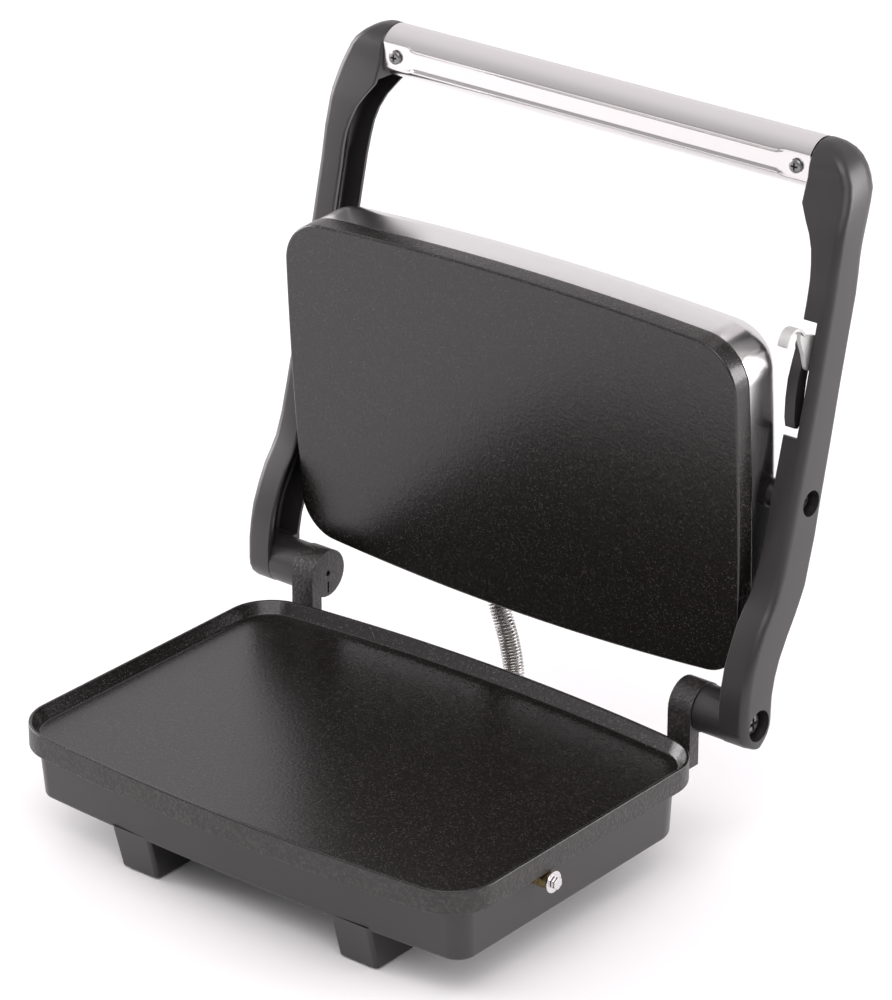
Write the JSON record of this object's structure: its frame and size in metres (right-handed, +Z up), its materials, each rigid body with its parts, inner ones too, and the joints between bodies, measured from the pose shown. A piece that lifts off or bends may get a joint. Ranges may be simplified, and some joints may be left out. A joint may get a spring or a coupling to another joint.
{
  "type": "panini press",
  "caption": "Electric contact grill shown open: shallow cast lower plate on a footed base, floating upper plate with a bright shell between two hinged arms, round cross handle and side latch.",
  "frame": {"origin": "centre of the whole object's bounding box, on the table the feet stand on", "axes": "+Z up, -Y to the front (the side the handle comes down to), +X to the user's right as they face the press from the front"},
  "size_m": [0.3352, 0.324, 0.3683],
  "materials": {
    "cooking_plate": "die-cast, black non-stick coating, fine orange-peel",
    "cast_housing": "die-cast, satin black heat-proof paint",
    "cast_bracket": "cast, dark wrinkle paint",
    "foot_rubber": "black rubber",
    "arm_plastic": "dark phenolic moulding, fine matt grain",
    "polished_steel": "polished stainless tube",
    "chrome_shell": "bright plated pressed sheet",
    "zinc_steel": "zinc-plated steel",
    "latch_metal": "satin plated metal",
    "post_brass": "turned brass",
    "conduit_steel": "close-wound bright wire",
    "wire_sleeve": "braided glass-fibre sleeve",
    "heater_sheath": "oxidised steel tube",
    "ceramic": "unglazed ceramic"
  },
  "bodies": {
    "base": {"lower_plate": "cooking_plate", "base_housing": "cast_housing", "foot_pad_front_left": "foot_rubber", "foot_pad_front_right": "foot_rubber", "foot_pad_rear_left": "foot_rubber", "foot_pad_rear_right": "foot_rubber", "plate_screw_front_left": "zinc_steel", "plate_screw_front_right": "zinc_steel", "plate_screw_rear_left": "zinc_steel", "plate_screw_rear_right": "zinc_steel", "hinge_bracket_right": "cast_bracket", "hinge_bracket_left": "cast_bracket", "bracket_screw_inner_right": "zinc_steel", "bracket_screw_inner_left": "zinc_steel", "bracket_screw_outer_right": "zinc_steel", "bracket_screw_outer_left": "zinc_steel", "hinge_bolt_right": "zinc_steel", "hinge_bolt_left": "zinc_steel", "lower_heater": "heater_sheath", "lower_reflector": "zinc_steel", "lower_thermostat": "ceramic", "thermal_fuse": "ceramic", "terminal_block": "ceramic", "cord_gland": "foot_rubber", "conduit_bush_base": "foot_rubber", "conduit": "conduit_steel", "lid_wiring": "wire_sleeve", "latch_post": "post_brass", "latch_post_washer": "zinc_steel", "latch_post_screw": "zinc_steel"},
    "arms": {"arm_right": "arm_plastic", "arm_left": "arm_plastic", "float_screw_right": "zinc_steel", "float_screw_left": "zinc_steel", "handle_tube": "polished_steel", "handle_screw_right": "polished_steel", "handle_screw_left": "polished_steel", "latch_pin": "zinc_steel"},
    "head": {"upper_plate": "cooking_plate", "upper_housing": "chrome_shell", "float_trunnion_right": "arm_plastic", "float_trunnion_left": "arm_plastic", "shell_screw_top_left": "zinc_steel", "shell_screw_top_right": "zinc_steel", "shell_screw_bottom_left": "zinc_steel", "shell_screw_bottom_right": "zinc_steel", "upper_heater": "heater_sheath", "upper_reflector": "zinc_steel", "upper_thermostat": "ceramic", "conduit_bush_lid": "foot_rubber"},
    "latch": {"latch_hook": "latch_metal", "latch_lever": "arm_plastic"}
  },
  "joints": [
    {"name": "lid_hinge", "type": "hinge", "parent": "base", "child": "arms", "pos_m": [0, 0.06395, 0.081], "axis": [1, 0, 0], "range_deg": [0, 98.4], "deforming": ["conduit", "lid_wiring"]},
    {"name": "plate_float", "type": "hinge", "parent": "arms", "child": "head", "pos_m": [0, 0.10345, 0.1912], "axis": [1, 0, 0], "range_deg": [-12.5, 0]},
    {"name": "latch_turn", "type": "hinge", "parent": "arms", "child": "latch", "pos_m": [0.155, 0.11445, 0.2705], "axis": [1, 0, 0], "range_deg": [-26, 0]}
  ],
  "couplings": [
    {"joint": "plate_float", "follows": "lid_hinge", "ratio": -0.12429}
  ]
}
